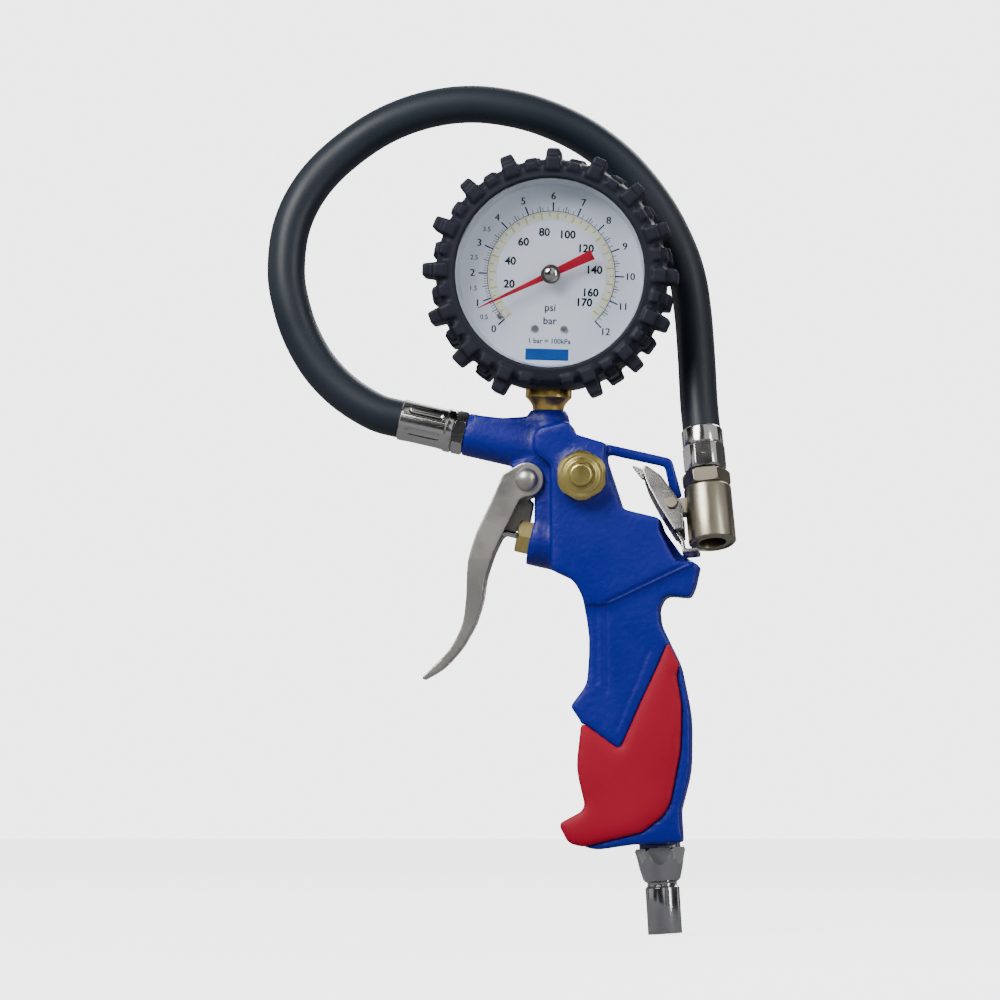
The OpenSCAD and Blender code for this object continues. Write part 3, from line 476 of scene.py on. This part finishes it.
boot = bmesh.new()
boot_ring(boot)
lug_count = 16
for number in range(lug_count):
    turn = 2 * pi * number / lug_count
    half = turn + pi / lug_count
    if number != lug_count // 2:
        reach = 40.2 - 0.8 * cos(turn)
        lug(boot, turn, 5.8, 4.0, (33, reach), -16.4, -2)
        lug(boot, turn, 5.0, 4.4, (32.2, 36.8), -18.4, -14)
    if number not in (lug_count // 2, lug_count // 2 - 1):
        reach = 38.4 - 0.6 * cos(half)
        lug(boot, half, 6.4, 4.8, (33, reach), -2, 12.4)
        lug(boot, half, 5.0, 3.8, (33, reach - 0.9), -13.5, -1)
    lug(boot, half, 4.4, 3.8, (32.6, 35.4), -18, -14)
bmesh.ops.transform(boot, matrix=gauge_frame, verts=boot.verts)
boot_mesh = melted("tread_boot", boot, voxel=0.45, soft=1, crown=0)
keep("tread_boot", boot_mesh, boot_rubber, "gun", ["gauge_boot"], sharp=ALL_SMOOTH)

# %% [markdown]
# Machined and pressed pieces
#
# Hexagons, ferrules and the case are right in shape already, but their edges are razor sharp, and a sharp
# edge never catches light. A merged copy of each gets a small bevel on every hard edge, and the exact solid
# stays hidden behind it. The two pressed levers have edges too short to bevel, so they are remeshed and
# smoothed as the casting is, with a finer voxel.

# %% Softened copies
def softened(node, width, material, body, segments=2, angle=28):
    bm = copy_of(node)
    bmesh.ops.dissolve_limit(bm, angle_limit=radians(0.4), verts=bm.verts, edges=bm.edges)
    hard = [edge for edge in bm.edges
            if len(edge.link_faces) == 2 and edge.calc_face_angle() > radians(angle)]
    bmesh.ops.bevel(bm, geom=hard, offset=width * MM, offset_type="OFFSET", affect="EDGES", segments=segments,
                    profile=0.5, material=-1, clamp_overlap=True)
    keep("soft_" + node, as_mesh(node, bm), material, body, [node], sharp=32)


softened("air_plug", 0.35, dark_plate, "gun")
SOFT_PLATED = {"hose_nipple": 0.15, "hose_ferrule": 0.2, "chuck_ferrule": 0.25,
               "socket_screws": 0.12}
for node, width in SOFT_PLATED.items():
    softened(node, width, bright_plate, "gun")
for node, width in {"chuck_nipple": 0.25, "chuck_body": 0.25, "mouth_ring": 0.12, "clip_pin": 0.1}.items():
    softened(node, width, warm_plate, "gun")
lever_mesh = melted("trigger_lever", copy_of("trigger_lever"), voxel=0.32, soft=3, crown=0)
keep("soft_trigger_lever", lever_mesh, pressed_plate, "trigger", ["trigger_lever"],
     sharp=ALL_SMOOTH)
clip_mesh = melted("clip_lever", copy_of("clip_lever"), voxel=0.25, soft=2, crown=0)
keep("soft_clip_lever", clip_mesh, clip_plate, "clip", ["clip_lever"], sharp=ALL_SMOOTH)
softened("trigger_rivet", 0.15, pressed_plate, "gun")
softened("valve_gland", 0.2, satin_brass, "gun")
softened("bleed_gland", 0.3, satin_brass, "gun")
softened("bleed_button", 0.25, satin_brass, "bleed_valve")
softened("gauge_socket", 0.2, neck_brass, "gun")
softened("gauge_case", 0.5, case_steel, "gun")
softened("bezel_ring", 0.35, case_steel, "gun", segments=3)
softened("relief_disc", 0.2, seal_rubber, "gun")

# %% [markdown]
# Dial printing
#
# The dial carries a blue bar scale with its numbers outside, a pale band with a yellow psi scale on it,
# black psi numbers inside and a plain blue plate. Text objects give clean numerals and are turned into mesh
# at once. The ticks are thin blocks set round the hub by a loop, at the angle that the scale gives them.

# %% Dial helpers
ink_top = -6.65
ink_thickness = 0.03
bar_start = 225
bar_end = -45
scale_sweep = bar_start - bar_end
bar_ring = 20.2
degrees_per_bar = 22.5
psi_per_scale = 174
ring_overlap = 1.04


def dial_point(radius, angle):
    return Vector((radius * cos(radians(angle)), ink_top, radius * sin(radians(angle))))


def ink_block(bm, angle, radius, length, width, top):
    block = bmesh.ops.create_cube(bm, size=1)["verts"]
    bmesh.ops.scale(bm, vec=(length, ink_thickness, width), verts=block)
    bmesh.ops.translate(bm, vec=(radius, top, 0), verts=block)
    bmesh.ops.rotate(bm, cent=(0, 0, 0), matrix=Matrix.Rotation(-radians(angle), 3, "Y"), verts=block)


def tick(bm, angle, inner, outer, width):
    ink_block(bm, angle, (outer + inner) / 2, outer - inner, width, ink_top)


def ring(bm, radius, width, first, last, steps, top=ink_top):
    for step in range(steps):
        angle = first + (last - first) * (step + 0.5) / steps
        length = 2 * radius * sin(radians(abs(last - first) / steps / 2)) * ring_overlap
        ink_block(bm, angle, radius, width, length, top)


def letter(bm, text, size, place, weight=0.0):
    words = bpy.data.curves.new("words", "FONT")
    words.body = text
    words.size = size
    words.align_x = "CENTER"
    words.align_y = "CENTER"
    words.extrude = 0.015
    words.offset = weight
    words.resolution_u = 3
    shown = bpy.data.objects.new("words", words)
    bpy.context.scene.collection.objects.link(shown)
    bpy.context.view_layer.update()
    mesh = bpy.data.meshes.new_from_object(shown.evaluated_get(bpy.context.evaluated_depsgraph_get()))
    mesh.transform(Matrix.Translation(place) @ Matrix.Rotation(pi / 2, 4, "X"))
    bm.from_mesh(mesh)
    bpy.data.objects.remove(shown)
    bpy.data.meshes.remove(mesh)

# %% Rim inside the glass
rim = bmesh.new()
rim_profile = [(30.3, -12.1), (29.7, -11.9), (29, -10), (28.7, -7.6), (28.7, -6.7), (30.3, -6.7),
               (30.3, -12.1)]
turned(rim, [(radius, y, 0) for radius, y in rim_profile], axis=(0, 1, 0))
keep("dial_rim", as_mesh("dial_rim", rim, gauge_frame), rim_steel, "gun")

# %% Bar scale
blue_ink = bmesh.new()
ring(blue_ink, bar_ring, 0.2, bar_start, bar_end, 108)
for tenth in range(121):
    angle = bar_start - tenth * degrees_per_bar / 10
    if tenth % 10 == 0:
        tick(blue_ink, angle, bar_ring, 23, 0.42)
    elif tenth % 5 == 0:
        tick(blue_ink, angle, bar_ring, 22, 0.26)
    elif tenth % 2 == 0 or tenth < 40:
        tick(blue_ink, angle, bar_ring, 21.5, 0.17)
for bar in range(13):
    for strike in (-0.06, 0.06):
        place = dial_point(24.9, bar_start - bar * degrees_per_bar) + Vector((strike, 0, 0))
        letter(blue_ink, str(bar), 3.2, place)
for half in (0.5, 1.5, 2.5, 3.5):
    letter(blue_ink, str(half), 2.1, dial_point(25, bar_start - half * degrees_per_bar), 0.02)
letter(blue_ink, "bar", 3.3, Vector((0, ink_top, -14.6)), 0.03)
letter(blue_ink, "1 bar = 100kPa", 2.2, Vector((0, ink_top, -21)), 0.03)
keep("bar_scale", as_mesh("bar_scale", blue_ink, gauge_frame), ink_blue, "gun")

# %% Psi scale
pale_ink = bmesh.new()
ring(pale_ink, 18.6, 2.8, bar_start, bar_end, 108, ink_top + 0.02)
keep("psi_band", as_mesh("psi_band", pale_ink, gauge_frame), ink_pale, "gun")
yellow_ink = bmesh.new()
ring(yellow_ink, 19.7, 0.14, bar_start, -39, 96)
for step in range(35):
    inner = 17.6 if step % 2 == 0 else 18.5
    tick(yellow_ink, bar_start - scale_sweep * step * 5 / psi_per_scale, inner, 19.6, 0.5)
keep("psi_ring", as_mesh("psi_ring", yellow_ink, gauge_frame), ink_yellow, "gun")
black_ink = bmesh.new()
for psi in (20, 40, 60, 80, 100, 120, 140, 160, 170):
    letter(black_ink, str(psi), 3.5, dial_point(13.6, bar_start - scale_sweep * psi / psi_per_scale), 0.1)
letter(black_ink, "psi", 3.3, Vector((0, ink_top, -10.4)), 0.03)
keep("psi_numbers", as_mesh("psi_numbers", black_ink, gauge_frame), ink_black, "gun")
blank = bmesh.new()
block = bmesh.ops.create_cube(blank, size=1)["verts"]
bmesh.ops.scale(blank, vec=(13.6, 0.04, 3.6), verts=block)
bmesh.ops.translate(blank, vec=(-0.6, ink_top, -25.2), verts=block)
keep("blank_plate", as_mesh("blank_plate", blank, gauge_frame), plate_blue, "gun")

# %% [markdown]
# Pointer
#
# The pointer is stamped from thin sheet: a long taper that ends in a point, and a short broad tail that
# balances it. Its hub is a dark pressed cup that holds a bright rivet. The blade is an outline given a
# thickness and bevelled; the hub's two parts are turned.

# %% Pointer
rest_angle = 206.5
needle_frame = gauge_frame @ Matrix.Rotation(-radians(rest_angle), 4, "Y")
blade = bmesh.new()
plate(blade, [(25.5, 0.12), (2.5, 0.95), (-14.6, 1.6), (-14.6, -1.6), (2.5, -0.95), (25.5, -0.12)],
      -10.4, -9.9)
bmesh.ops.bevel(blade, geom=list(blade.edges), offset=0.08, affect="EDGES", segments=2, profile=0.5,
                material=-1)
keep("pointer_blade", as_mesh("pointer_blade", blade, needle_frame), needle_red, "pointer",
     ["needle"])
cup = bmesh.new()
cup_profile = [(0, -11.2), (2.3, -11.2), (2.6, -11.35), (2.95, -11.2), (3.05, -10.8), (3.0, -9.5), (2.7, -9.3),
               (0, -9.3)]
turned(cup, [(radius, y, 0) for radius, y in cup_profile], axis=(0, 1, 0))
keep("pointer_cup", as_mesh("pointer_cup", cup, gauge_frame), hub_dark, "pointer")
rivet = bmesh.new()
rivet_profile = [(0, -11.75), (0.9, -11.7), (1.6, -11.5), (2.1, -11.15), (2.1, -10.9), (0, -10.9)]
turned(rivet, [(radius, y, 0) for radius, y in rivet_profile], axis=(0, 1, 0))
keep("pointer_rivet", as_mesh("pointer_rivet", rivet, gauge_frame), bright_plate, "pointer")

# %% [markdown]
# Finishes for the solids that stay
#
# The movement inside the gauge, the springs, the seals and the small screws keep their exact shapes. Each
# still gets its own finish, because the glass and the open chuck let some of them be seen.

# %% Finishes on kept solids
FINISH_OF = {
    "inlet_screen": case_steel, "valve_stem": bright_plate, "valve_seat": satin_brass,
    "dial_plate": dial_white, "dial_screws": case_steel, "stop_pin": case_steel, "window": clear_lens,
    "chuck_core": satin_brass,
    "gland_o_ring": seal_rubber, "poppet_seal": seal_rubber, "bleed_seal": seal_rubber,
    "window_gasket": seal_rubber, "chuck_seal": seal_rubber,
    "valve_spring": spring_wire, "bleed_spring": spring_wire, "hairspring": spring_wire,
    "clip_spring": spring_wire,
}
for node, solid in frame["nodes"].items():
    if not solid.hide_render:
        solid.data.materials.clear()
        solid.data.materials.append(FINISH_OF.get(node, satin_brass))
print("kept solids:", sum(not solid.hide_render for solid in frame["nodes"].values()))

# %% [markdown]

# %% [markdown]
# Floor and light
#
# Chrome and glossy paint show whatever surrounds them, so the light matters as much as the finish. A large
# soft light high on the left models the shapes, a tall strip on the right draws the long highlights, and a
# pale floor and a pale surround fill the shadows.

# %% Floor and light
floor_mesh = bmesh.new()
bmesh.ops.create_circle(floor_mesh, cap_ends=True, segments=96, radius=6)
bmesh.ops.translate(floor_mesh, verts=floor_mesh.verts, vec=(0, 0, -0.0005))
floor = bpy.data.objects.new("floor", as_mesh("floor", floor_mesh))
bpy.context.scene.collection.objects.link(floor)
floor_paint = finish("floor_paint", (0.5, 0.5, 0.51), (0.55, 0.55, 0.55), (0.6, 0.7), (0.05, 0.1), fine=60,
                     broad=3)
floor_tree = floor_paint.node_tree
floor_shader = floor_tree.nodes["Principled BSDF"]
floor_shader.inputs["Emission Color"].default_value = (0.97, 0.98, 1, 1)
floor_shader.inputs["Emission Strength"].default_value = 3.2
mirrored_floor = floor_tree.nodes.new("ShaderNodeBsdfDiffuse")
mirrored_floor.inputs["Color"].default_value = (0.24, 0.24, 0.25, 1)
floor_path = floor_tree.nodes.new("ShaderNodeLightPath")
floor_choose = floor_tree.nodes.new("ShaderNodeMixShader")
floor_tree.links.new(floor_path.outputs["Is Camera Ray"], floor_choose.inputs["Fac"])
floor_tree.links.new(mirrored_floor.outputs["BSDF"], floor_choose.inputs[1])
floor_tree.links.new(floor_shader.outputs["BSDF"], floor_choose.inputs[2])
floor_tree.links.new(floor_choose.outputs["Shader"], floor_tree.nodes["Material Output"].inputs["Surface"])
floor.data.materials.append(floor_paint)


def softbox(name, place, size, power):
    data = bpy.data.lights.new(name, "AREA")
    data.shape = "RECTANGLE"
    data.size, data.size_y = size
    data.energy = power
    lamp = bpy.data.objects.new(name, data)
    bpy.context.scene.collection.objects.link(lamp)
    lamp.location = place
    lamp.rotation_euler = (aim - Vector(place)).to_track_quat("-Z", "Y").to_euler()


softbox("key", (-0.7, -0.9, 1.0), (0.7, 0.7), 24)
softbox("strip", (0.9, -0.7, 0.35), (0.16, 1.1), 6)
softbox("rear", (0.3, 1.1, 0.9), (0.8, 0.6), 10)

# %% [markdown]
# Surround
#
# The eye reads chrome by the dark and light that it mirrors. So the surround is plain and pale where the
# lens looks at it, and a striped studio, with bright panels and dark gaps, where the plating mirrors it.

# %% Surround
world = bpy.data.worlds.new("surround")
bpy.context.scene.world = world
world.use_nodes = True
sky = world.node_tree
sky.nodes.clear()
heading = sky.nodes.new("ShaderNodeTexCoord")
panels = sky.nodes.new("ShaderNodeTexNoise")
panels.inputs["Scale"].default_value = 2.3
panels.inputs["Detail"].default_value = 0
squash = sky.nodes.new("ShaderNodeMapping")
squash.inputs["Scale"].default_value = (1, 1, 0.45)
tones = sky.nodes.new("ShaderNodeValToRGB")
tones.color_ramp.elements[0].position = 0.5
tones.color_ramp.elements[0].color = (0.05, 0.052, 0.06, 1)
tones.color_ramp.elements[1].position = 0.6
tones.color_ramp.elements[1].color = (1, 1, 1, 1)
studio = sky.nodes.new("ShaderNodeBackground")
studio.inputs["Strength"].default_value = 0.75
paper = sky.nodes.new("ShaderNodeBackground")
paper.inputs["Color"].default_value = (0.97, 0.98, 1, 1)
paper.inputs["Strength"].default_value = 4
path = sky.nodes.new("ShaderNodeLightPath")
choose = sky.nodes.new("ShaderNodeMixShader")
output = sky.nodes.new("ShaderNodeOutputWorld")
sky.links.new(heading.outputs["Generated"], squash.inputs["Vector"])
sky.links.new(squash.outputs["Vector"], panels.inputs["Vector"])
sky.links.new(panels.outputs["Fac"], tones.inputs["Fac"])
sky.links.new(tones.outputs["Color"], studio.inputs["Color"])
sky.links.new(path.outputs["Is Camera Ray"], choose.inputs["Fac"])
sky.links.new(studio.outputs["Background"], choose.inputs[1])
sky.links.new(paper.outputs["Background"], choose.inputs[2])
sky.links.new(choose.outputs["Shader"], output.inputs["Surface"])
